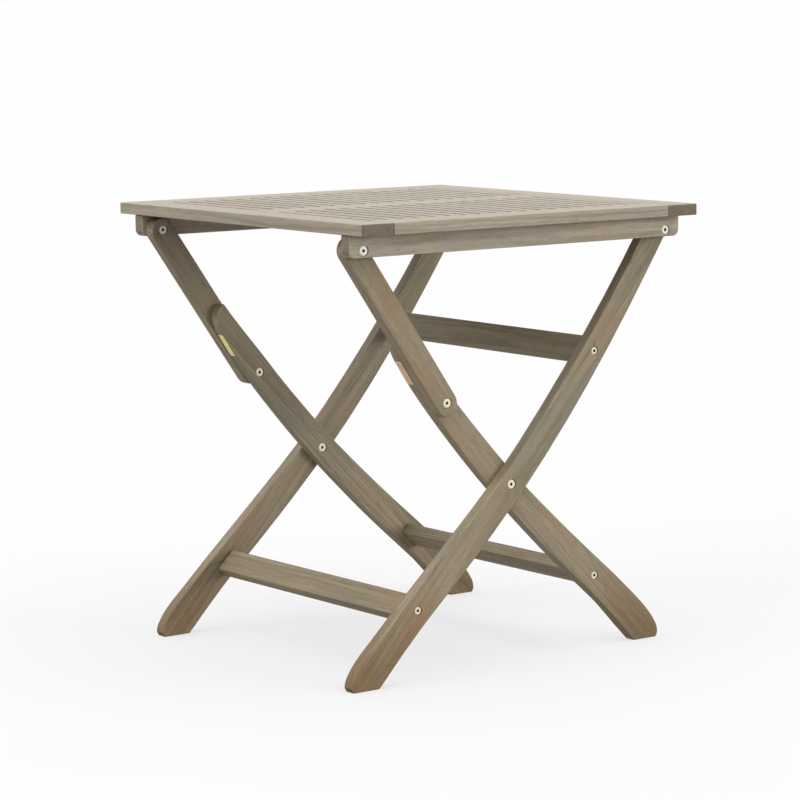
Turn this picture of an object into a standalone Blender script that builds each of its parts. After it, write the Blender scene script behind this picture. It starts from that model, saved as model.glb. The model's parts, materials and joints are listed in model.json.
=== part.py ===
"""Folding picnic table: a slatted square top on two crossing pairs of sabre-shaped legs.

Frame: +Z up, origin on the floor under the centre of the top. X runs along the aprons, Y from side to side.
One leg pair is long and turns on the aprons. The other pair is shorter and hangs from two upper links by a
knee, so that the frame folds up towards the underside of the top.
Nodes ending in _near lie at -Y, nodes ending in _far at +Y.
To fold, the long legs turn 37.5 degrees about their pivot, clockwise as seen from -Y, while the upper links
turn the other way and the lower legs swing through under them. The long legs then still slope 14 degrees.
"""

import math

import bmesh
import bpy
from mathutils import Matrix, Vector

# Overall size
TOP_SIDE = 0.660
HEIGHT = 0.710
BOARD = 0.018
RAIL_WIDTH = 0.060
MIDDLE_RAIL_WIDTH = 0.050
SLATS_PER_BANK = 18
SLAT_GAP = 0.005
FIT_GAP = 0.0003

# Side frames: three layers of boards, from the outside in
FRAME_THICKNESS = 0.020
LAYER_GAP = 0.001
APRON_OUTER_Y = 0.2925
APRON_HEIGHT = 0.0345
APRON_HALF_LENGTH = 0.3255
APRON_CORNER = 0.011
LAYER_STEP = FRAME_THICKNESS + LAYER_GAP
APRON_Y = APRON_OUTER_Y - FRAME_THICKNESS / 2
OUTER_LEG_Y = APRON_Y - LAYER_STEP
INNER_LEG_Y = OUTER_LEG_Y - LAYER_STEP

# Pivots in the side plane, as (x, z)
PIVOT_DROP = 0.0243
PIVOT_Z = HEIGHT - BOARD - PIVOT_DROP
LINK_PIVOT = Vector((-0.2977, PIVOT_Z))
LONG_LEG_PIVOT = Vector((0.2977, PIVOT_Z))
KNEE = Vector((-0.1271, 0.4247))
CROSSING = Vector((-0.0016, 0.2870))

# Stretchers: boards across the frame, each centred near its bolt
STRETCHER_WIDTH = 0.041
STRETCHER_THICKNESS = 0.020
UPPER_STRETCHER = Vector((0.1676, 0.4822))
REAR_STRETCHER = Vector((-0.1856, 0.1110))
REAR_STRETCHER_OFFSET = Vector((0.004, -0.002))
FRONT_STRETCHER = Vector((0.1862, 0.1175))

# Leg and link widths, measured from the pivot at their round ends
LEG_END_RADIUS = 0.0200
LINK_END_RADIUS = 0.0203
LINK_OFFSET = 0.0015

# Fasteners
SHANK_RADIUS = 0.0040
HEAD_RADIUS = 0.0074
HEAD_THICKNESS = 0.0030
HEAD_RECESS = 0.0012
HEAD_CLEARANCE = 0.0007
SOCKET_RADIUS = 0.0024
SOCKET_DEPTH = 0.0022
STRETCHER_BOLT_RADIUS = 0.0030
STRETCHER_HEAD_RADIUS = 0.0060

# Mesh detail
CURVE_STEPS = 6
ROUND_STEPS = 20
FRAME_EDGE = 0.0018
RAIL_EDGE = 0.0010
SLAT_EDGE = 0.0022
SHARP_ANGLE = math.radians(30)
FLAT_ANGLE = math.radians(0.05)
SOCKET_TURN = math.radians(8)

SIDES = {"near": -1, "far": 1}

bpy.context.preferences.edit.use_global_undo = False
for old in list(bpy.data.objects):
    bpy.data.objects.remove(old)


def new_collection(name):
    collection = bpy.data.collections.new(name)
    bpy.context.scene.collection.children.link(collection)
    return collection


TABLE = new_collection("folding_picnic_table")
CUTTERS = new_collection("cutters")


def new_material(name, color, roughness, metallic=0.0):
    material = bpy.data.materials.new(name)
    material.use_nodes = True
    shader = material.node_tree.nodes["Principled BSDF"]
    shader.inputs["Base Color"].default_value = (*color, 1.0)
    shader.inputs["Roughness"].default_value = roughness
    shader.inputs["Metallic"].default_value = metallic
    return material


TOP_WOOD = new_material("top_wood", (0.55, 0.50, 0.43), 0.65)
FRAME_WOOD = new_material("frame_wood", (0.27, 0.24, 0.19), 0.60)
BRASS = new_material("brass", (0.80, 0.66, 0.42), 0.30, 1.0)


def add_object(name, mesh, material, collection=TABLE):
    thing = bpy.data.objects.new(name, mesh)
    collection.objects.link(thing)
    if material:
        mesh.materials.clear()
        mesh.materials.append(material)
    return thing


def add_pivot(name, point, parent=None):
    """An empty on the axis of a joint; turning it about Y moves every piece that hangs on it."""
    pivot = bpy.data.objects.new(name, None)
    TABLE.objects.link(pivot)
    pivot.location = (point.x, 0.0, point.y)
    if parent:
        pivot.parent = parent
        pivot.matrix_parent_inverse = Matrix.Translation(-parent.location)
    return pivot


def hang(piece, pivot):
    """Parent a piece to a pivot and leave it where it is."""
    piece.parent = pivot
    piece.matrix_parent_inverse = Matrix.Translation(-pivot.location)


LONG_LEGS = add_pivot("long_legs_pivot", LONG_LEG_PIVOT)
UPPER_LINKS = add_pivot("upper_links_pivot", LINK_PIVOT)
LOWER_LEGS = add_pivot("lower_legs_pivot", KNEE, UPPER_LINKS)


def round_edges(thing, width, segments=2):
    bevel = thing.modifiers.new("round_edges", "BEVEL")
    bevel.width = width
    bevel.segments = segments
    bevel.limit_method = "ANGLE"
    bevel.angle_limit = SHARP_ANGLE


def cut(thing, cutter):
    boolean = thing.modifiers.new("cut_" + cutter.name, "BOOLEAN")
    boolean.operation = "DIFFERENCE"
    boolean.solver = "EXACT"
    boolean.object = cutter


def as_cutter(thing):
    thing.hide_render = True
    thing.display_type = "WIRE"
    return thing


# Boards with square corners


def box_mesh(name, size):
    mesh = bpy.data.meshes.new(name)
    shape = bmesh.new()
    bmesh.ops.create_cube(shape, size=1.0)
    bmesh.ops.scale(shape, vec=size, verts=shape.verts)
    shape.to_mesh(mesh)
    shape.free()
    return mesh


def add_board(name, size, centre, material, edge, edge_steps=1, tilt=0.0):
    """A square-edged board; tilt turns it about Y, and a positive tilt leans its top towards +X."""
    board = add_object(name, box_mesh(name, size), material)
    board.location = centre
    board.rotation_euler = (0.0, tilt, 0.0)
    round_edges(board, edge, edge_steps)
    return board


# Boards with a curved outline in the side plane


def towards(degrees):
    return Vector((math.cos(math.radians(degrees)), math.sin(math.radians(degrees))))


def handle_length(start, start_heading, end, end_heading):
    """Length of both Bezier handles that makes the stretch a circular arc, or nearly one."""
    turn = math.radians((end_heading - start_heading + 180) % 360 - 180)
    return (end - start).length / (3 * math.cos(turn / 4) ** 2)


def outline_curve(name, knots, thickness):
    """A closed flat outline. Each knot is (point, heading in, heading out), with headings in degrees."""
    curve = bpy.data.curves.new(name, "CURVE")
    curve.dimensions = "2D"
    curve.fill_mode = "BOTH"
    curve.extrude = thickness / 2
    curve.resolution_u = CURVE_STEPS
    spline = curve.splines.new("BEZIER")
    spline.use_cyclic_u = True
    spline.bezier_points.add(len(knots) - 1)
    for index, (point, heading_in, heading_out) in enumerate(knots):
        before, _, before_out = knots[index - 1]
        after, after_in, _ = knots[(index + 1) % len(knots)]
        reach_in = handle_length(before, before_out, point, heading_in)
        reach_out = handle_length(point, heading_out, after, after_in)
        bezier = spline.bezier_points[index]
        bezier.handle_left_type = "FREE"
        bezier.handle_right_type = "FREE"
        bezier.co = (*point, 0.0)
        bezier.handle_left = (*(point - towards(heading_in) * reach_in), 0.0)
        bezier.handle_right = (*(point + towards(heading_out) * reach_out), 0.0)
    return curve


def add_shaped_board(name, knots, y, material):
    """A board in the side plane: its outline is in X and Z, and its thickness is centred on y."""
    curve_object = bpy.data.objects.new(name + "_outline", outline_curve(name, knots, FRAME_THICKNESS))
    TABLE.objects.link(curve_object)
    curve_object.location = (0.0, y, 0.0)
    curve_object.rotation_euler = (math.radians(90), 0.0, 0.0)
    bpy.context.view_layer.update()
    evaluated = curve_object.evaluated_get(bpy.context.evaluated_depsgraph_get())
    mesh = bpy.data.meshes.new_from_object(evaluated)
    shape = bmesh.new()
    shape.from_mesh(mesh)
    bmesh.ops.remove_doubles(shape, verts=shape.verts, dist=0.00001)
    bmesh.ops.recalc_face_normals(shape, faces=shape.faces)
    bmesh.ops.dissolve_limit(shape, angle_limit=FLAT_ANGLE, verts=shape.verts, edges=shape.edges)
    shape.to_mesh(mesh)
    shape.free()
    board = add_object(name, mesh, material)
    board.matrix_world = curve_object.matrix_world.copy()
    bpy.data.objects.remove(curve_object)
    round_edges(board, FRAME_EDGE)
    return board


def smooth(x, z, heading):
    return (Vector((x, z)), heading, heading)


def corner(x, z, heading_in, heading_out):
    return (Vector((x, z)), heading_in, heading_out)


def round_end(pivot, radius, heading):
    """Three knots around a pivot, turning right from one edge, over the end, to the other edge."""
    sideways = heading + 90
    return [
        smooth(*(pivot + towards(sideways) * radius), heading),
        smooth(*(pivot + towards(heading) * radius), heading - 90),
        smooth(*(pivot - towards(sideways) * radius), heading - 180),
    ]


def long_leg_outline():
    """A sabre: it leaves the pivot 33 degrees from upright, leans to 48, and stands up again at the foot."""
    front_edge = [
        smooth(0.0670, 0.3250, 228.7),
        smooth(-0.1503, 0.1095, 222.0),
        smooth(-0.2415, 0.0195, 227.0),
    ]
    foot = [
        corner(-0.2605, 0.0, 222.0, 180.0),
        corner(-0.3085, 0.0, 180.0, 112.0),
    ]
    rear_edge = [
        smooth(-0.3122, 0.0075, 90.0),
        smooth(-0.3080, 0.0215, 62.0),
        smooth(-0.2539, 0.0800, 44.0),
        smooth(-0.1570, 0.1700, 42.6),
        smooth(0.0290, 0.3500, 48.5),
    ]
    return front_edge + foot + rear_edge + round_end(LONG_LEG_PIVOT, LEG_END_RADIUS, 56.7)


def lower_leg_outline():
    """The same sabre the other way round, with a tail that runs on past the knee beside the upper link."""
    tail = [
        corner(-0.1965, 0.5430, 25.0, 307.0),
    ]
    front_edge = [
        smooth(-0.1090, 0.4400, 309.5),
        smooth(-0.0190, 0.3400, 313.0),
        smooth(0.1290, 0.2000, 318.5),
        smooth(0.2675, 0.0800, 317.0),
        smooth(0.3165, 0.0250, 300.0),
        smooth(0.3215, 0.0090, 270.0),
    ]
    foot = [
        corner(0.3180, 0.0, 244.0, 180.0),
        corner(0.2705, 0.0, 180.0, 137.0),
    ]
    rear_edge = [
        smooth(0.2510, 0.0195, 135.5),
        smooth(0.1905, 0.0800, 139.0),
        smooth(0.0760, 0.1815, 136.5),
        smooth(-0.0615, 0.3200, 132.0),
        smooth(-0.1623, 0.4400, 127.5),
        smooth(-0.1990, 0.4930, 124.0),
    ]
    return tail + front_edge + foot + rear_edge


def upper_link_outline():
    """A straight board with two round ends, set slightly to the rear of the line between its pivots."""
    along = (KNEE - LINK_PIVOT).normalized()
    heading = math.degrees(math.atan2(along.y, along.x))
    shift = Vector((along.y, -along.x)) * LINK_OFFSET
    lower = round_end(KNEE + shift, LINK_END_RADIUS, heading)
    upper = round_end(LINK_PIVOT + shift, LINK_END_RADIUS, heading + 180)
    return lower + upper


def apron_outline():
    half = APRON_HALF_LENGTH
    top = HEIGHT - BOARD - FIT_GAP
    bottom = top - APRON_HEIGHT
    return [
        corner(half, top, 0.0, -90.0),
        smooth(half, bottom + APRON_CORNER, -90.0),
        smooth(half - APRON_CORNER, bottom, 180.0),
        smooth(-half + APRON_CORNER, bottom, 180.0),
        smooth(-half, bottom + APRON_CORNER, 90.0),
        corner(-half, top, 90.0, 0.0),
    ]


# Turned pieces: fasteners and the holes that they need


def turned_mesh(name, profile):
    """The outline of a turned piece, as (radius, height) from its top centre down to its bottom centre."""
    mesh = bpy.data.meshes.new(name)
    points = [(radius, 0.0, height) for radius, height in profile]
    mesh.from_pydata(points, [(i, i + 1) for i in range(len(points) - 1)], [])
    return mesh


def add_turned(name, profile, centre, material=None, collection=CUTTERS):
    """A turned piece with its axis along Y and the top of its profile towards +Y."""
    piece = add_object(name, turned_mesh(name, profile), material, collection)
    piece.location = centre
    piece.rotation_euler = (math.radians(-90), 0.0, 0.0)
    screw = piece.modifiers.new("turn", "SCREW")
    screw.steps = ROUND_STEPS
    screw.render_steps = ROUND_STEPS
    screw.use_merge_vertices = True
    screw.merge_threshold = 0.00001
    return piece


def double_headed(length, shank, head, head_depth, recess, both_heads=True):
    """Profile of a shank with a head at each end, or a head and a plain end just short of the wood's face."""
    top = length / 2 - recess
    bottom = -top
    profile = [(0.0, top), (head, top), (head, top - head_depth), (shank, top - head_depth)]
    if both_heads:
        profile += [(shank, bottom + head_depth), (head, bottom + head_depth), (head, bottom), (0.0, bottom)]
    else:
        plain_end = FIT_GAP - length / 2
        profile += [(shank, plain_end), (0.0, plain_end)]
    return profile


def add_socket(name, bolt, centre, depth):
    mesh = bpy.data.meshes.new(name)
    shape = bmesh.new()
    bmesh.ops.create_cone(
        shape,
        cap_ends=True,
        segments=6,
        radius1=SOCKET_RADIUS,
        radius2=SOCKET_RADIUS,
        depth=depth,
    )
    shape.to_mesh(mesh)
    shape.free()
    socket = as_cutter(add_object(name, mesh, None, CUTTERS))
    socket.location = centre
    socket.rotation_euler = (math.radians(90), SOCKET_TURN, 0.0)
    cut(bolt, socket)


def add_pivot_bolt(name, pivot, outer_y, inner_y, side, through=True):
    """A bolt and its sleeve nut, screwed tight: one head in each outside face, and a plain shank between."""
    length = abs(outer_y - inner_y)
    middle = side * (outer_y + inner_y) / 2
    profile = double_headed(length, SHANK_RADIUS, HEAD_RADIUS, HEAD_THICKNESS, HEAD_RECESS, through)
    if side < 0:
        profile = [(radius, -height) for radius, height in reversed(profile)]
    bolt = add_turned(name, profile, (pivot.x, middle, pivot.y), BRASS, TABLE)
    faces = [outer_y - HEAD_RECESS] + ([inner_y + HEAD_RECESS] if through else [])
    for index, face in enumerate(faces):
        add_socket(f"{name}_socket_{index}", bolt, (pivot.x, side * face, pivot.y), 2 * SOCKET_DEPTH)
    return bolt


def add_hole(name, boards, pivot, low_y, high_y, shank, head):
    """A stepped hole along Y from low_y to high_y, wide for a head at both ends, cut through the boards."""
    overshoot = 0.002
    length = high_y - low_y + 2 * overshoot
    depth = HEAD_THICKNESS + HEAD_RECESS + FIT_GAP + overshoot
    profile = double_headed(length, shank + FIT_GAP, head + HEAD_CLEARANCE, depth, 0.0)
    centre = (pivot.x, (low_y + high_y) / 2, pivot.y)
    hole = as_cutter(add_turned(name, profile, centre))
    for board in boards:
        cut(board, hole)


# The top


def build_top():
    half = TOP_SIDE / 2
    middle_z = HEIGHT - BOARD / 2
    rail_centre = half - RAIL_WIDTH / 2
    inner = half - RAIL_WIDTH
    long_piece = 2 * inner - 2 * FIT_GAP
    for name, sign in (("end_rail_left", -1), ("end_rail_right", 1)):
        size = (RAIL_WIDTH, TOP_SIDE, BOARD)
        add_board(name, size, (sign * rail_centre, 0.0, middle_z), TOP_WOOD, RAIL_EDGE)
    for side, sign in SIDES.items():
        size = (long_piece, RAIL_WIDTH, BOARD)
        add_board(f"side_rail_{side}", size, (0.0, sign * rail_centre, middle_z), TOP_WOOD, RAIL_EDGE)
    size = (long_piece, MIDDLE_RAIL_WIDTH, BOARD)
    add_board("middle_rail", size, (0.0, 0.0, middle_z), TOP_WOOD, RAIL_EDGE)

    slat_width = (2 * inner - (SLATS_PER_BANK + 1) * SLAT_GAP) / SLATS_PER_BANK
    slat_start = MIDDLE_RAIL_WIDTH / 2 + FIT_GAP
    slat_length = inner - FIT_GAP - slat_start
    size = (slat_width, slat_length, BOARD)
    for side, sign in SIDES.items():
        y = sign * (slat_start + slat_length / 2)
        for number in range(SLATS_PER_BANK):
            x = -inner + SLAT_GAP + slat_width / 2 + number * (slat_width + SLAT_GAP)
            add_board(f"slat_{side}_{number + 1:02d}", size, (x, y, middle_z), TOP_WOOD, SLAT_EDGE, 2)


# The side frames


def build_side(side, sign):
    apron_outer = APRON_OUTER_Y
    outer_face = OUTER_LEG_Y + FRAME_THICKNESS / 2
    outer_back = OUTER_LEG_Y - FRAME_THICKNESS / 2
    inner_back = INNER_LEG_Y - FRAME_THICKNESS / 2
    apron = add_shaped_board(f"apron_{side}", apron_outline(), sign * APRON_Y, FRAME_WOOD)
    long_leg = add_shaped_board(f"long_leg_{side}", long_leg_outline(), sign * OUTER_LEG_Y, FRAME_WOOD)
    link = add_shaped_board(f"upper_link_{side}", upper_link_outline(), sign * OUTER_LEG_Y, FRAME_WOOD)
    lower_leg = add_shaped_board(f"lower_leg_{side}", lower_leg_outline(), sign * INNER_LEG_Y, FRAME_WOOD)
    hang(long_leg, LONG_LEGS)
    hang(link, UPPER_LINKS)
    hang(lower_leg, LOWER_LEGS)

    pivots = (
        ("link_pivot_bolt", LINK_PIVOT, (apron, link), apron_outer, outer_back),
        ("leg_pivot_bolt", LONG_LEG_PIVOT, (apron, long_leg), apron_outer, outer_back),
        ("knee_bolt", KNEE, (link, lower_leg), outer_face, inner_back),
    )
    bolts = {}
    for name, pivot, boards, outer, inner in pivots:
        low, high = sorted((sign * outer, sign * inner))
        add_hole(f"hole_{name}_{side}", boards, pivot, low, high, SHANK_RADIUS, HEAD_RADIUS)
        bolts[name] = add_pivot_bolt(f"{name}_{side}", pivot, outer, inner, sign)
    hang(bolts["knee_bolt"], UPPER_LINKS)

    low, high = sorted((sign * outer_face, sign * inner_back))
    boards = (long_leg, lower_leg)
    add_hole(f"hole_crossing_bolt_{side}", boards, CROSSING, low, high, SHANK_RADIUS, HEAD_RADIUS)
    name = f"crossing_bolt_{side}"
    hang(add_pivot_bolt(name, CROSSING, outer_face, outer_back, sign, through=False), LONG_LEGS)

    stretcher_bolts = (
        ("upper", UPPER_STRETCHER, long_leg, OUTER_LEG_Y),
        ("rear", REAR_STRETCHER, long_leg, OUTER_LEG_Y),
        ("front", FRONT_STRETCHER, lower_leg, INNER_LEG_Y),
    )
    for name, pivot, board, y in stretcher_bolts:
        outer = sign * (y + FRAME_THICKNESS / 2)
        beyond = sign * (y - FRAME_THICKNESS * 1.5)
        low, high = sorted((outer, beyond))
        head = STRETCHER_HEAD_RADIUS
        add_hole(f"hole_{name}_bolt_{side}", (board,), pivot, low, high, STRETCHER_BOLT_RADIUS, head)


def build_stretchers():
    long_leg_span = 2 * (OUTER_LEG_Y - FRAME_THICKNESS / 2 - FIT_GAP)
    lower_leg_span = 2 * (INNER_LEG_Y - FRAME_THICKNESS / 2 - FIT_GAP)
    stretchers = (
        ("upper_stretcher", UPPER_STRETCHER, long_leg_span, 37.5, LONG_LEGS),
        ("rear_stretcher", REAR_STRETCHER + REAR_STRETCHER_OFFSET, long_leg_span, 45.5, LONG_LEGS),
        ("front_stretcher", FRONT_STRETCHER, lower_leg_span, -48.0, LOWER_LEGS),
    )
    for name, centre, span, lean, pivot in stretchers:
        size = (STRETCHER_THICKNESS, span, STRETCHER_WIDTH)
        place = (centre.x, 0.0, centre.y)
        hang(add_board(name, size, place, FRAME_WOOD, FRAME_EDGE, 2, math.radians(lean)), pivot)


build_top()
for side_name, side_sign in SIDES.items():
    build_side(side_name, side_sign)
build_stretchers()
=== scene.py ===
"""The looks of a folding slatted table: weathered wood, brass fasteners, blank labels and a pale studio.

The boards are the frame's own nodes with procedural wood on them. The fasteners are made here in full
detail, and the six stretcher bolts, the two crossing nuts and the two labels exist only here.
"""

import json
import math
import random

import bmesh
import bpy
from mathutils import Matrix, Vector
from mathutils.bvhtree import BVHTree


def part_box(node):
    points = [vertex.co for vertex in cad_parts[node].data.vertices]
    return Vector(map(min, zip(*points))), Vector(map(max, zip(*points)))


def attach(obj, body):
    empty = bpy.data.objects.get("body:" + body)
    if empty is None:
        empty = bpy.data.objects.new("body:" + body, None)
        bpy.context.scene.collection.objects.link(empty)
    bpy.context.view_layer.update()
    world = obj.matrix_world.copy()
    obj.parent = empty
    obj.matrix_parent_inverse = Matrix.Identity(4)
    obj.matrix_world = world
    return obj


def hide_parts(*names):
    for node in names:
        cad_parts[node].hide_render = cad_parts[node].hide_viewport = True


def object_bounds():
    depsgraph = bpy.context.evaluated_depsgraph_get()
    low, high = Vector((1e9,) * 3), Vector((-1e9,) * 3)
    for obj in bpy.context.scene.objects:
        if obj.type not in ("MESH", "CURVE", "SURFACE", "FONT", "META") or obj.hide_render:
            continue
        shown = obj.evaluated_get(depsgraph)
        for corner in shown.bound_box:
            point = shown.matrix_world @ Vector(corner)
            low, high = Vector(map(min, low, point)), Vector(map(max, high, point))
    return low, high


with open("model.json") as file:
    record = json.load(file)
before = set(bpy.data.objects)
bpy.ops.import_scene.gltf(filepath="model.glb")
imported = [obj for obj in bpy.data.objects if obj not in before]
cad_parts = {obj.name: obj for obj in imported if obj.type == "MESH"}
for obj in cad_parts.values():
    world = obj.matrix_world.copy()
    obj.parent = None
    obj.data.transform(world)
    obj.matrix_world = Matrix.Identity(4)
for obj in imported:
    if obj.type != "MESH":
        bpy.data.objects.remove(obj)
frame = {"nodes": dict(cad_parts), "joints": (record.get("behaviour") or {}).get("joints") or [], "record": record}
CAD_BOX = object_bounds()
NODES = frame["nodes"]
JOINTS = {joint["name"]: Vector(joint["pos_m"]) for joint in frame["joints"]}
SIDES = {"near": -1.0, "far": 1.0}

# Fasteners, in metres, as the holes in the boards expect them
HEAD_RADIUS = 0.0074
HEAD_THICKNESS = 0.0030
SHANK_RADIUS = 0.0040
SMALL_HEAD_RADIUS = 0.0060
SMALL_SHANK_RADIUS = 0.0029
SMALL_SHANK_LENGTH = 0.0148
HEAD_RECESS = 0.0012
RIM_CHAMFER = 0.0007
SOCKET_ACROSS = 0.0048
SOCKET_DEPTH = 0.0022
SOCKET_LIP = 0.0002
NUT_SHORTFALL = 0.0005
TURN_STEPS = 48
SHARP_ANGLE = math.radians(32)

# How the boards' rounded edges are shaded
WELD_REACH = 0.00001
FACE_WEIGHT = 80

# Where the legs cross, as (x, z), and each stretcher bolt's place, leg and body
CROSSING = (-0.0016, 0.2870)
STRETCHER_BOLTS = {
    "upper_bolt": ((0.1676, 0.4822), "long_leg", "long_legs"),
    "rear_bolt": ((-0.1856, 0.1110), "long_leg", "long_legs"),
    "front_bolt": ((0.1862, 0.1175), "lower_leg", "lower_legs"),
}

# The blank label on the rear edge of each lower leg's tail
LABEL_START = Vector((-0.1975, 0.0, 0.4905))
LABEL_END = Vector((-0.1725, 0.0, 0.4555))
LABEL_WIDTH = 0.0125
LABEL_THICKNESS = 0.0003
LABEL_BORDER = 0.0014
LABEL_STEPS = 8
LABEL_LIFT = 0.00008
LABEL_RAY_START = 0.02

# The camera: where it stands, where it looks, and its lens
CAMERA_PLACE = Vector((-2.9321, -3.8609, 1.0400))
CAMERA_YAW = math.radians(52.903)
CAMERA_PITCH = math.radians(-7.623)
CAMERA_ROLL = math.radians(-0.433)
CAMERA_LENS = 136.12
CAMERA_SENSOR = 36.0

# The studio. The softboxes are direction, spread in degrees and strength.
SOFTBOXES = {
    "front_right": ((0.45, -0.85, 0.11), 22.0, 1.55),
    "left": ((-0.85, 0.05, 0.52), 35.0, 1.30),
    "above": ((0.1, -0.2, 1.0), 70.0, 1.30),
    "back": ((0.35, 0.90, 0.35), 50.0, 0.35),
}
SOFTBOX_DISTANCE = 3.0
FLOOR_REACH = 1500.0
WORLD_COLOR = (1.0, 0.995, 0.99, 1.0)
ABOVE_STRENGTH = 1.0
BELOW_STRENGTH = 0.32
SEEN_STRENGTH = 0.975
RISE_START = -0.35
RISE_END = 0.30
FLOOR_DULL = (0.228, 0.222, 0.228, 1.0)
FLOOR_CLEAN = (0.232, 0.226, 0.232, 1.0)
FLOOR_SHINE = 0.61
GLOW_ACROSS = 1.6
GLOW_POWER = 1.6
GLOW_HEIGHT = 0.001


# Node trees


class Tree:
    """Short calls for a material's node tree."""

    def __init__(self, name):
        self.material = bpy.data.materials.new(name)
        self.material.use_nodes = True
        self.nodes = self.material.node_tree.nodes
        self.links = self.material.node_tree.links
        self.shader = self.nodes["Principled BSDF"]

    def add(self, kind, settings=(), **inputs):
        node = self.nodes.new(kind)
        for key, value in dict(settings).items():
            setattr(node, key, value)
        for key, value in inputs.items():
            self.set(node.inputs[key], value)
        return node

    def set(self, socket, value):
        if isinstance(value, bpy.types.NodeSocket):
            self.links.new(value, socket)
        else:
            socket.default_value = value

    def math(self, operation, first, second=0.0, clamp=False):
        node = self.add("ShaderNodeMath", {"operation": operation, "use_clamp": clamp})
        self.set(node.inputs[0], first)
        self.set(node.inputs[1], second)
        return node.outputs[0]

    def vector(self, operation, first, second):
        node = self.add("ShaderNodeVectorMath", {"operation": operation})
        self.set(node.inputs[0], first)
        self.set(node.inputs[1], second)
        return node.outputs["Value" if operation == "DOT_PRODUCT" else "Vector"]

    def noise(self, vector, stretch, detail, roughness=0.5):
        """Noise whose features are 1/stretch metres across, with its own stretch along each axis."""
        scaled = self.vector("MULTIPLY", vector, stretch)
        return self.add("ShaderNodeTexNoise", Vector=scaled, Scale=1.0, Detail=detail, Roughness=roughness)

    def ramp(self, value, low, high):
        """0 below low, 1 above high, smooth between."""
        node = self.add("ShaderNodeMapRange", {"interpolation_type": "SMOOTHSTEP"})
        self.set(node.inputs["Value"], value)
        node.inputs["From Min"].default_value = low
        node.inputs["From Max"].default_value = high
        return node.outputs["Result"]

    def mix(self, factor, first, second, blend="MIX"):
        node = self.add("ShaderNodeMix", {"data_type": "RGBA", "blend_type": blend})
        self.set(node.inputs[0], factor)
        self.set(node.inputs[6], first)
        self.set(node.inputs[7], second)
        return node.outputs[2]

    def edges(self, radius, low, high):
        """1 on edges that a hand or another board would wear, 0 on open faces."""
        rounded = self.add("ShaderNodeBevel", {"samples": 4}, Radius=radius).outputs["Normal"]
        flat = self.add("ShaderNodeNewGeometry").outputs["Normal"]
        return self.ramp(self.vector("DOT_PRODUCT", rounded, flat), high, low)


def rgb(red, green, blue):
    return (red, green, blue, 1.0)


# Wood


WOODS = {
    "frame_wood": {
        "light": rgb(0.310, 0.255, 0.172),
        "dark": rgb(0.150, 0.122, 0.080),
        "warm": rgb(0.265, 0.180, 0.105),
        "cool": rgb(0.190, 0.180, 0.135),
        "worn": rgb(0.400, 0.330, 0.225),
        "end": 0.62,
        "roughness": 0.52,
        "specular": 0.30,
    },
    "top_wood": {
        "light": rgb(0.372, 0.314, 0.236),
        "dark": rgb(0.190, 0.158, 0.116),
        "warm": rgb(0.330, 0.245, 0.170),
        "cool": rgb(0.255, 0.240, 0.195),
        "worn": rgb(0.440, 0.375, 0.280),
        "end": 0.50,
        "roughness": 0.40,
        "specular": 0.50,
    },
}
# Painted light: the aprons take the top's wood this much paler, against the shade under the top's overhang
APRON_PAINTED_LIGHT = 1.30
# Painted shade: the tint that darkens and browns the feet near the floor
FOOT_SHADE_TINT = rgb(0.68, 0.58, 0.46)
END_GRAIN_TINT = rgb(1.0, 0.96, 0.90)
# Painted shade down the upright sides of the slats, in the gaps between them: where it starts under the top and
# where it is full
SLAT_SHADE_TOP = 0.00004
SLAT_SHADE_FULL = 0.00040
# How far a board's own recesses reach for the painted shade in them
CAVITY_REACH = 0.0035


def times(color, factor):
    return tuple(channel * factor for channel in color[:3]) + (1.0,)


def lighter(look, factor):
    """The same wood, in a paler tint."""
    return {key: times(value, factor) if isinstance(value, tuple) else value for key, value in look.items()}


def gap_shade(tree, coordinates, fibres):
    """Painted shade, with a little dirt, on the upright sides of a slat in the gaps between slats, from just under
    its top edge down.
    """
    height = tree.add("ShaderNodeSeparateXYZ", Vector=coordinates.outputs["Object"]).outputs["Z"]
    depth = tree.math("SUBTRACT", CAD_BOX[1][2], height)
    depth = tree.math("ADD", depth, tree.math("MULTIPLY", tree.math("SUBTRACT", fibres, 0.5), 0.0003))
    deep = tree.ramp(depth, SLAT_SHADE_TOP, SLAT_SHADE_FULL)
    across = tree.add("ShaderNodeSeparateXYZ", Vector=coordinates.outputs["Normal"]).outputs["Z"]
    upright = tree.ramp(tree.math("ABSOLUTE", across), 0.999, 0.95)
    return tree.math("MULTIPLY", deep, upright)


def foot_shade(tree, coordinates, streaks):
    """Painted shade: the darker, browner wood of the feet near the floor, which fades out upwards in streaks."""
    height = tree.add("ShaderNodeSeparateXYZ", Vector=coordinates.outputs["Object"]).outputs["Z"]
    height = tree.math("ADD", height, tree.math("MULTIPLY", tree.math("SUBTRACT", streaks, 0.5), 0.10))
    return tree.ramp(height, 0.17, 0.01)


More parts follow.
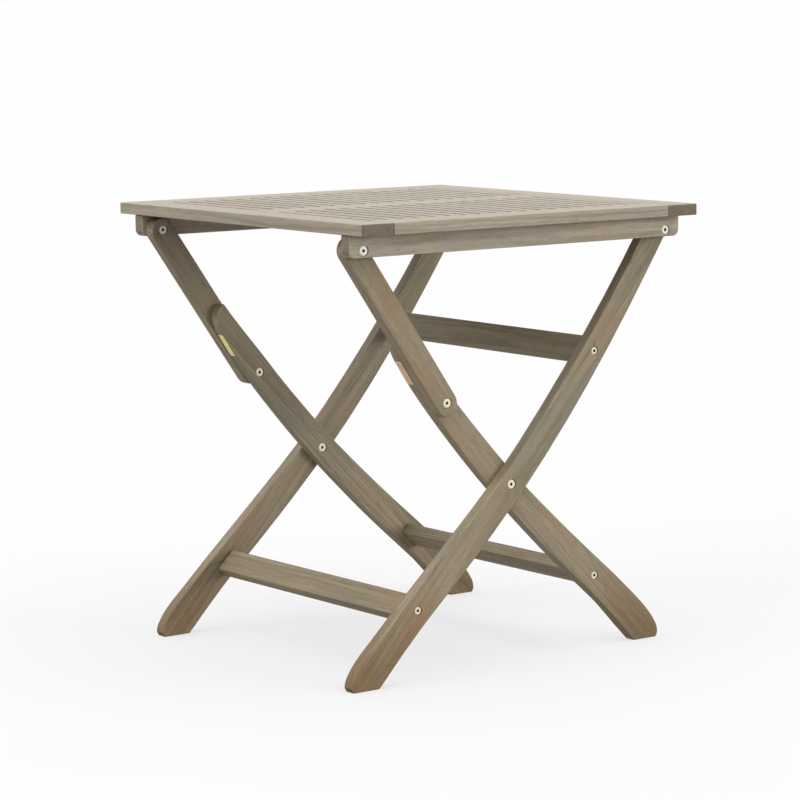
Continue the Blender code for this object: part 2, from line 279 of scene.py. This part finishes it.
def wood(name, look, centre, direction, seed, in_gap):
    """Wood cut from a log: rings round a pith beside the board, fibres, pores, stain and worn edges, with painted
    shade in its recesses, down the sides of slats and towards the feet.
    """
    chance = random.Random(seed)
    tree = Tree(name)
    turn = direction.rotation_difference(Vector((0.0, 0.0, 1.0))).to_matrix()
    pith_angle = chance.uniform(0.0, 2.0 * math.pi)
    pith_distance = chance.uniform(0.045, 0.110)
    pith = Vector((math.cos(pith_angle), math.sin(pith_angle), 0.0)) * pith_distance
    along = Vector((0.0, 0.0, chance.uniform(1.0, 9.0)))
    shift = pith + along - turn @ centre
    ring_scale = 2.0 * math.pi / (20.0 * chance.uniform(0.0030, 0.0046))
    blotch_shift = chance.uniform(0.0, 50.0)
    tone = chance.uniform(-0.07, 0.07)

    coordinates = tree.add("ShaderNodeTexCoord")
    board = tree.add("ShaderNodeMapping", Vector=coordinates.outputs["Object"])
    board.inputs["Location"].default_value = shift
    board.inputs["Rotation"].default_value = turn.to_euler()
    grain = board.outputs["Vector"]

    sway = tree.noise(grain, (16.0, 16.0, 4.0), 2.0).outputs["Color"]
    sway = tree.vector("MULTIPLY", tree.vector("SUBTRACT", sway, (0.5, 0.5, 0.5)), (0.010, 0.010, 0.0))
    grain = tree.vector("ADD", grain, sway)
    rings = tree.add(
        "ShaderNodeTexWave",
        {"wave_type": "RINGS", "rings_direction": "Z", "wave_profile": "SIN"},
        Vector=grain,
        Scale=ring_scale,
        Distortion=1.2,
        Detail=2.0,
    ).outputs["Fac"]
    rings = tree.ramp(rings, 0.15, 0.95)
    fibres = tree.noise(grain, (620.0, 620.0, 16.0), 4.0, 0.62).outputs["Fac"]
    streaks = tree.noise(grain, (110.0, 110.0, 2.6), 3.0, 0.55).outputs["Fac"]
    pores = tree.ramp(tree.noise(grain, (1500.0, 1500.0, 55.0), 1.0).outputs["Fac"], 0.60, 0.70)
    moved = tree.vector("ADD", grain, (blotch_shift, 0.0, 0.0))
    blotches = tree.noise(moved, (19.0, 19.0, 6.5), 3.0, 0.6).outputs["Fac"]

    value = tree.math("MULTIPLY", tree.math("SUBTRACT", rings, 0.5), -0.26)
    value = tree.math("ADD", value, tree.math("MULTIPLY", tree.math("SUBTRACT", fibres, 0.5), 1.15))
    value = tree.math("ADD", value, tree.math("MULTIPLY", tree.math("SUBTRACT", streaks, 0.5), 1.30))
    value = tree.math("ADD", value, 0.52 + tone, clamp=True)
    color = tree.mix(value, look["dark"], look["light"])
    color = tree.mix(tree.math("MULTIPLY", tree.ramp(blotches, 0.52, 0.74), 0.75), color, look["warm"])
    color = tree.mix(tree.math("MULTIPLY", tree.ramp(blotches, 0.48, 0.28), 0.60), color, look["cool"])
    if not in_gap:
        wear = tree.math("MULTIPLY", tree.edges(0.0022, 0.90, 0.995), tree.ramp(streaks, 0.30, 0.62))
        color = tree.mix(tree.math("MULTIPLY", wear, 0.55), color, look["worn"])
    color = tree.mix(tree.math("MULTIPLY", pores, 0.45), color, times(look["dark"], 0.5))
    facing = tree.vector("DOT_PRODUCT", coordinates.outputs["Normal"], tuple(direction))
    end_grain = tree.ramp(tree.math("ABSOLUTE", facing), 0.60, 0.90)
    sawn = tree.mix(1.0, color, times(END_GRAIN_TINT, look["end"]), "MULTIPLY")
    color = tree.mix(end_grain, color, sawn)
    # Painted shade: the feet darker and browner near the floor
    if look is WOODS["frame_wood"]:
        shaded_feet = tree.mix(1.0, color, FOOT_SHADE_TINT, "MULTIPLY")
        color = tree.mix(foot_shade(tree, coordinates, streaks), color, shaded_feet)
    # Painted shade in the board's own recesses, such as round the counterbores
    cavity = {"samples": 6, "only_local": True}
    closed_in = tree.add("ShaderNodeAmbientOcclusion", cavity, Distance=CAVITY_REACH)
    recess_shade = tree.math("MULTIPLY", tree.ramp(closed_in.outputs["AO"], 0.92, 0.55), 0.80)
    color = tree.mix(recess_shade, color, times(look["dark"], 0.30))
    # Painted shade down the sides of the slats, in the gaps between them
    if in_gap:
        color = tree.mix(gap_shade(tree, coordinates, fibres), color, times(look["dark"], 0.14))
    tree.set(tree.shader.inputs["Base Color"], color)

    rough = tree.math("MULTIPLY", tree.math("SUBTRACT", fibres, 0.5), 0.35)
    rough = tree.math("ADD", rough, tree.math("MULTIPLY", pores, 0.15))
    rough = tree.math("ADD", rough, look["roughness"], clamp=True)
    tree.set(tree.shader.inputs["Roughness"], rough)
    tree.shader.inputs["Specular IOR Level"].default_value = look["specular"]

    height = tree.math("MULTIPLY", fibres, 0.8)
    height = tree.math("SUBTRACT", height, tree.math("MULTIPLY", rings, 0.25))
    height = tree.math("SUBTRACT", height, tree.math("MULTIPLY", pores, 0.6))
    bump = tree.add("ShaderNodeBump", Strength=0.55, Distance=0.00035, Height=height)
    tree.set(tree.shader.inputs["Normal"], bump.outputs["Normal"])
    return tree.material


def grain_direction(name):
    low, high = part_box(name)
    span = high - low
    if name.startswith("long_leg"):
        return Vector((span.x, 0.0, span.z)).normalized()
    if name.startswith(("lower_leg", "upper_link")):
        return Vector((-span.x, 0.0, span.z)).normalized()
    longest = max(range(3), key=lambda axis: span[axis])
    return Vector([1.0 if axis == longest else 0.0 for axis in range(3)])


def finish_boards():
    """Give each board its own wood and soft normals. Aprons take the top's wood, made paler as painted light
    against the shade under the top's overhang.
    """
    slots = {part["node"]: part["material_slot"] for part in frame["record"]["subparts"]}
    for index, name in enumerate(sorted(NODES)):
        if slots[name] not in WOODS:
            continue
        node = NODES[name]
        low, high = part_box(name)
        # The aprons' paler tint is painted light against the shade under the top's overhang
        look = lighter(WOODS["top_wood"], APRON_PAINTED_LIGHT) if name.startswith("apron") else WOODS[slots[name]]
        in_gap = name.startswith("slat")
        centre = (low + high) / 2
        material = wood(f"{name}_wood", look, centre, grain_direction(name), index + 7, in_gap)
        node.data.materials.clear()
        node.data.materials.append(material)
        soften(node)


def soften(thing):
    """Join the frame's split vertices and weight the normals towards the large faces."""
    for polygon in thing.data.polygons:
        polygon.use_smooth = True
    weld = thing.modifiers.new("join", "WELD")
    weld.merge_threshold = WELD_REACH
    normals = thing.modifiers.new("normals", "WEIGHTED_NORMAL")
    normals.weight = FACE_WEIGHT


# Brass


def brass(name, color, roughness, metallic):
    """Satin brass: turning marks round the axis, faint tarnish, brighter rims."""
    tree = Tree(name)
    place = tree.add("ShaderNodeTexCoord").outputs["Object"]
    tarnish = tree.noise(place, (260.0, 260.0, 260.0), 3.0).outputs["Fac"]
    marks = tree.noise(place, (2200.0, 300.0, 2200.0), 2.0).outputs["Fac"]
    dull = tuple(channel * 0.55 for channel in color[:3]) + (1.0,)
    bright = tuple(min(1.0, channel * 1.15) for channel in color[:3]) + (1.0,)
    shade = tree.mix(tree.math("MULTIPLY", tree.ramp(tarnish, 0.45, 0.75), 0.5), color, dull)
    shade = tree.mix(tree.edges(0.0006, 0.85, 0.99), shade, bright)
    tree.set(tree.shader.inputs["Base Color"], shade)
    tree.shader.inputs["Metallic"].default_value = metallic
    rough = tree.math("ADD", tree.math("MULTIPLY", tree.math("SUBTRACT", marks, 0.5), 0.25), roughness)
    tree.set(tree.shader.inputs["Roughness"], rough)
    bump = tree.add("ShaderNodeBump", Strength=0.25, Distance=0.00005, Height=marks)
    tree.set(tree.shader.inputs["Normal"], bump.outputs["Normal"])
    return tree.material


def socket_shade():
    """Painted shade on the inside of a hexagon socket: a near-black lining where the recess lies in shade."""
    tree = Tree("socket_shade")
    place = tree.add("ShaderNodeTexCoord").outputs["Object"]
    recess_shade = tree.noise(place, (900.0, 900.0, 900.0), 3.0).outputs["Fac"]
    shade = tree.mix(recess_shade, rgb(0.035, 0.026, 0.015), rgb(0.150, 0.105, 0.050))
    tree.set(tree.shader.inputs["Base Color"], shade)
    tree.set(tree.shader.inputs["Roughness"], tree.math("ADD", tree.math("MULTIPLY", recess_shade, 0.3), 0.5))
    tree.shader.inputs["Metallic"].default_value = 0.6
    return tree.material


def hexagon_radius(angle):
    """Distance from the centre to a hexagon's side, at an angle."""
    within = (angle % (math.pi / 3)) - math.pi / 6
    return SOCKET_ACROSS / 2 / math.cos(within)


def fastener_mesh(name, stations, hexes):
    """A turned solid with its axis along Y, from (radius, y) stations. A radius of None is the hexagon."""
    shape = bmesh.new()
    loops = []
    for radius, y in stations:
        loop = []
        for step in range(TURN_STEPS):
            angle = 2 * math.pi * step / TURN_STEPS
            reach = hexagon_radius(angle) if radius is None else radius
            loop.append(shape.verts.new((reach * math.cos(angle), y, reach * math.sin(angle))))
        loops.append(loop)
    for number, (first, second) in enumerate(zip(loops, loops[1:])):
        for step in range(TURN_STEPS):
            after = (step + 1) % TURN_STEPS
            face = shape.faces.new((first[step], first[after], second[after], second[step]))
            face.material_index = 1 if number in hexes else 0
    for loop in (loops[0], loops[-1]):
        cap = shape.faces.new(loop)
        cap.material_index = 1 if stations[loops.index(loop)][0] is None else 0
    bmesh.ops.recalc_face_normals(shape, faces=shape.faces)
    mesh = bpy.data.meshes.new(name)
    shape.to_mesh(mesh)
    shape.free()
    mesh.shade_smooth()
    mesh.set_sharp_from_angle(angle=SHARP_ANGLE)
    return mesh


def head_stations(face, away, radius, shank):
    """From the socket's floor out to the rim and in to the shank. The head's face is at y = face."""
    inwards = -away
    return [
        (None, face + inwards * SOCKET_DEPTH),
        (None, face + inwards * SOCKET_LIP),
        (SOCKET_ACROSS * 0.62, face),
        (radius - RIM_CHAMFER, face),
        (radius - RIM_CHAMFER * 0.35, face + inwards * RIM_CHAMFER * 0.30),
        (radius, face + inwards * RIM_CHAMFER),
        (radius, face + inwards * HEAD_THICKNESS),
        (shank, face + inwards * HEAD_THICKNESS),
    ]


def add_fastener(name, centre, stations, hexes, materials, body):
    thing = bpy.data.objects.new(name, fastener_mesh(name, stations, hexes))
    bpy.context.scene.collection.objects.link(thing)
    thing.location = centre
    for material in materials:
        thing.data.materials.append(material)
    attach(thing, body)
    return thing


def two_headed(name, x, z, low_y, high_y, body, materials):
    """A bolt in its sleeve nut: a socket head at both ends of one shank."""
    first = head_stations(low_y, -1.0, HEAD_RADIUS, SHANK_RADIUS)
    second = head_stations(high_y, 1.0, HEAD_RADIUS, SHANK_RADIUS)
    stations = first + second[::-1]
    hexes = (0, len(stations) - 2)
    return add_fastener(name, (x, 0.0, z), stations, hexes, materials, body)


def one_headed(name, x, z, face, away, end, radius, shank, body, materials):
    """A screw with a socket head: its face at y = face, pointing away, its plain end at y = end."""
    stations = head_stations(face, away, radius, shank) + [(shank, end)]
    return add_fastener(name, (x, 0.0, z), stations, (0,), materials, body)


def build_fasteners():
    top_set = [brass("pale_brass", rgb(0.96, 0.92, 0.84), 0.42, 0.20), socket_shade()]
    frame_set = [brass("warm_brass", rgb(0.96, 0.84, 0.60), 0.38, 0.35), top_set[1]]
    pivots = {
        "link_pivot_bolt": ("tabletop", JOINTS["link_fold"], top_set),
        "leg_pivot_bolt": ("tabletop", JOINTS["long_leg_fold"], top_set),
        "knee_bolt": ("upper_links", JOINTS["knee_fold"], frame_set),
    }
    for side, sign in SIDES.items():
        for name, (body, pivot, materials) in pivots.items():
            node = f"{name}_{side}"
            low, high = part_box(node)
            bolt = two_headed(f"{node}_brass", pivot.x, pivot.z, low.y, high.y, body, materials)
            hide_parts(node)
        build_crossing(side, sign, frame_set)
        build_stretcher_bolts(side, sign, frame_set)


def build_crossing(side, sign, materials):
    """The crossing's bolt rides on the long leg, and its sleeve nut on the lower leg."""
    node = f"crossing_bolt_{side}"
    low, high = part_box(node)
    outer, inner = (high.y, low.y) if sign > 0 else (low.y, high.y)
    x, z = CROSSING
    bolt = one_headed(
        f"{node}_brass", x, z, outer, sign, inner, HEAD_RADIUS, SHANK_RADIUS, "long_legs", materials
    )
    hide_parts(node)
    low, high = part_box(f"lower_leg_{side}")
    back, front = (low.y, high.y) if sign > 0 else (high.y, low.y)
    face = back + sign * HEAD_RECESS
    end = front - sign * NUT_SHORTFALL
    one_headed(
        f"crossing_nut_{side}", x, z, face, -sign, end, HEAD_RADIUS, SHANK_RADIUS, "lower_legs", materials
    )


def build_stretcher_bolts(side, sign, materials):
    for name, ((x, z), leg, body) in STRETCHER_BOLTS.items():
        low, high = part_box(f"{leg}_{side}")
        outer = high.y if sign > 0 else low.y
        face = outer - sign * HEAD_RECESS
        end = outer - sign * (HEAD_RECESS + HEAD_THICKNESS + SMALL_SHANK_LENGTH)
        one_headed(
            f"{name}_{side}", x, z, face, sign, end, SMALL_HEAD_RADIUS, SMALL_SHANK_RADIUS, body, materials
        )


# Labels


def label_paper(name, color):
    tree = Tree(name)
    place = tree.add("ShaderNodeTexCoord").outputs["Object"]
    fibres = tree.noise(place, (900.0, 900.0, 900.0), 4.0, 0.7).outputs["Fac"]
    stain = tree.noise(place, (120.0, 120.0, 120.0), 2.0).outputs["Fac"]
    faded = tuple(channel * 0.80 for channel in color[:3]) + (1.0,)
    shade = tree.mix(tree.ramp(stain, 0.40, 0.70), color, faded)
    tree.set(tree.shader.inputs["Base Color"], shade)
    tree.set(tree.shader.inputs["Roughness"], tree.math("ADD", tree.math("MULTIPLY", fibres, 0.2), 0.35))
    bump = tree.add("ShaderNodeBump", Strength=0.2, Distance=0.00005, Height=fibres)
    tree.set(tree.shader.inputs["Normal"], bump.outputs["Normal"])
    return tree.material


def add_label(side, y, colors):
    """A blank sticker, laid on the leg's narrow rear edge, with a plain border."""
    leg = NODES[f"lower_leg_{side}"]
    surface = BVHTree.FromObject(leg, bpy.context.evaluated_depsgraph_get())
    along = (LABEL_END - LABEL_START).normalized()
    outwards = Vector((along.z, 0.0, -along.x))
    length = (LABEL_END - LABEL_START).length
    half = LABEL_WIDTH / 2
    inset = LABEL_BORDER
    panel = [inset + (length - 2 * inset) * step / LABEL_STEPS for step in range(LABEL_STEPS + 1)]
    steps_along = [0.0, *panel, length]
    steps_across = [-half, -half + inset, 0.0, half - inset, half]
    shape = bmesh.new()
    grid = []
    for distance in steps_along:
        row = []
        start = LABEL_START + along * distance + outwards * LABEL_RAY_START
        for across in steps_across:
            hit = surface.ray_cast(start + Vector((0.0, y + across, 0.0)), -outwards)[0]
            row.append(shape.verts.new(hit + outwards * LABEL_LIFT))
        grid.append(row)
    for i in range(len(grid) - 1):
        for j in range(len(steps_across) - 1):
            face = shape.faces.new((grid[i][j], grid[i + 1][j], grid[i + 1][j + 1], grid[i][j + 1]))
            border = i in (0, len(grid) - 2) or j in (0, len(steps_across) - 2)
            face.material_index = 1 if border else 0
    bmesh.ops.recalc_face_normals(shape, faces=shape.faces)
    shape.normal_update()
    first = next(iter(shape.faces))
    if first.normal.dot(outwards) < 0:
        bmesh.ops.reverse_faces(shape, faces=shape.faces)
    mesh = bpy.data.meshes.new(f"label_{side}")
    shape.to_mesh(mesh)
    shape.free()
    label = bpy.data.objects.new(f"label_{side}", mesh)
    bpy.context.scene.collection.objects.link(label)
    for name, color in colors.items():
        mesh.materials.append(label_paper(f"label_{side}_{name}", color))
    solid = label.modifiers.new("thickness", "SOLIDIFY")
    solid.thickness = LABEL_THICKNESS
    solid.offset = 1.0
    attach(label, "lower_legs")


def build_labels():
    palettes = {
        "near": {"panel": rgb(0.68, 0.42, 0.22), "border": rgb(0.88, 0.80, 0.66)},
        "far": {"panel": rgb(0.90, 0.76, 0.24), "border": rgb(0.92, 0.86, 0.60)},
    }
    for side, colors in palettes.items():
        low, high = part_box(f"lower_leg_{side}")
        add_label(side, (low.y + high.y) / 2, colors)


# Studio


def add_floor():
    """A floor so wide that its edge is out of sight. Its own shine softens the shadows that the camera sees.

    It sheds no light on the table: the lamps, the world and the floor glow do that.
    """
    mesh = bpy.data.meshes.new("floor")
    shape = bmesh.new()
    bmesh.ops.create_grid(shape, x_segments=1, y_segments=1, size=FLOOR_REACH)
    shape.to_mesh(mesh)
    shape.free()
    floor = bpy.data.objects.new("floor", mesh)
    bpy.context.scene.collection.objects.link(floor)
    floor.visible_diffuse = False
    floor.visible_glossy = False
    tree = Tree("floor_paper")
    place = tree.add("ShaderNodeTexCoord").outputs["Object"]
    mottle = tree.noise(place, (3.0, 3.0, 3.0), 3.0).outputs["Fac"]
    tree.set(tree.shader.inputs["Base Color"], tree.mix(mottle, FLOOR_DULL, FLOOR_CLEAN))
    tree.shader.inputs["Roughness"].default_value = 0.9
    tree.shader.inputs["Specular IOR Level"].default_value = 0.0
    tree.shader.inputs["Emission Color"].default_value = (1.0, 1.0, 1.0, 1.0)
    tree.shader.inputs["Emission Strength"].default_value = FLOOR_SHINE
    mesh.materials.append(tree.material)


def add_softbox(name, direction, spread, strength):
    """A large soft lamp in the given direction. It makes no glare on glossy wood at low angles."""
    data = bpy.data.lights.new(name, "SUN")
    data.angle = math.radians(spread)
    data.energy = strength
    lamp = bpy.data.objects.new(name, data)
    bpy.context.scene.collection.objects.link(lamp)
    lamp.location = Vector(direction) * SOFTBOX_DISTANCE
    lamp.rotation_euler = Vector(direction).to_track_quat("Z", "Y").to_euler()
    lamp.visible_glossy = False


def add_floor_glow():
    """The light that a pale floor throws back up at the feet and the undersides."""
    data = bpy.data.lights.new("floor_glow", "AREA")
    data.shape = "DISK"
    data.size = GLOW_ACROSS
    data.energy = GLOW_POWER
    lamp = bpy.data.objects.new("floor_glow", data)
    bpy.context.scene.collection.objects.link(lamp)
    lamp.location = (0.0, 0.0, GLOW_HEIGHT)
    lamp.rotation_euler = (math.pi, 0.0, 0.0)
    lamp.visible_camera = False
    lamp.visible_glossy = False


def add_world():
    """White all round above the floor, and dimmer below it. The view itself shows one even white."""
    world = bpy.data.worlds.new("studio")
    world.use_nodes = True
    nodes = world.node_tree.nodes
    links = world.node_tree.links
    direction = nodes.new("ShaderNodeTexCoord")
    split = nodes.new("ShaderNodeSeparateXYZ")
    rise = nodes.new("ShaderNodeMapRange")
    rise.interpolation_type = "SMOOTHSTEP"
    rise.inputs["From Min"].default_value = RISE_START
    rise.inputs["From Max"].default_value = RISE_END
    rise.inputs["To Min"].default_value = BELOW_STRENGTH
    rise.inputs["To Max"].default_value = ABOVE_STRENGTH
    links.new(direction.outputs["Generated"], split.inputs["Vector"])
    links.new(split.outputs["Z"], rise.inputs["Value"])
    seen = nodes.new("ShaderNodeLightPath")
    choose = nodes.new("ShaderNodeMix")
    choose.inputs[3].default_value = SEEN_STRENGTH
    links.new(seen.outputs["Is Camera Ray"], choose.inputs[0])
    links.new(rise.outputs["Result"], choose.inputs[2])
    links.new(choose.outputs[0], nodes["Background"].inputs["Strength"])
    nodes["Background"].inputs["Color"].default_value = WORLD_COLOR
    bpy.context.scene.world = world


def add_studio():
    bpy.context.scene.view_settings.view_transform = "Standard"
    add_world()
    add_floor()
    for name, (direction, spread, strength) in SOFTBOXES.items():
        add_softbox(name, direction, spread, strength)
    add_floor_glow()


def add_camera():
    data = bpy.data.cameras.new("camera")
    data.lens = CAMERA_LENS
    data.sensor_width = CAMERA_SENSOR
    camera = bpy.data.objects.new("camera", data)
    bpy.context.scene.collection.objects.link(camera)
    flat = math.cos(CAMERA_PITCH)
    forward = Vector((math.cos(CAMERA_YAW) * flat, math.sin(CAMERA_YAW) * flat, math.sin(CAMERA_PITCH)))
    level = forward.cross(Vector((0.0, 0.0, 1.0))).normalized()
    upright = level.cross(forward)
    right = level * math.cos(CAMERA_ROLL) + upright * math.sin(CAMERA_ROLL)
    up = upright * math.cos(CAMERA_ROLL) - level * math.sin(CAMERA_ROLL)
    turn = Matrix((right, up, -forward)).transposed()
    camera.matrix_world = Matrix.Translation(CAMERA_PLACE) @ turn.to_4x4()
    bpy.context.scene.camera = camera


add_camera()
finish_boards()
build_fasteners()
build_labels()
add_studio()
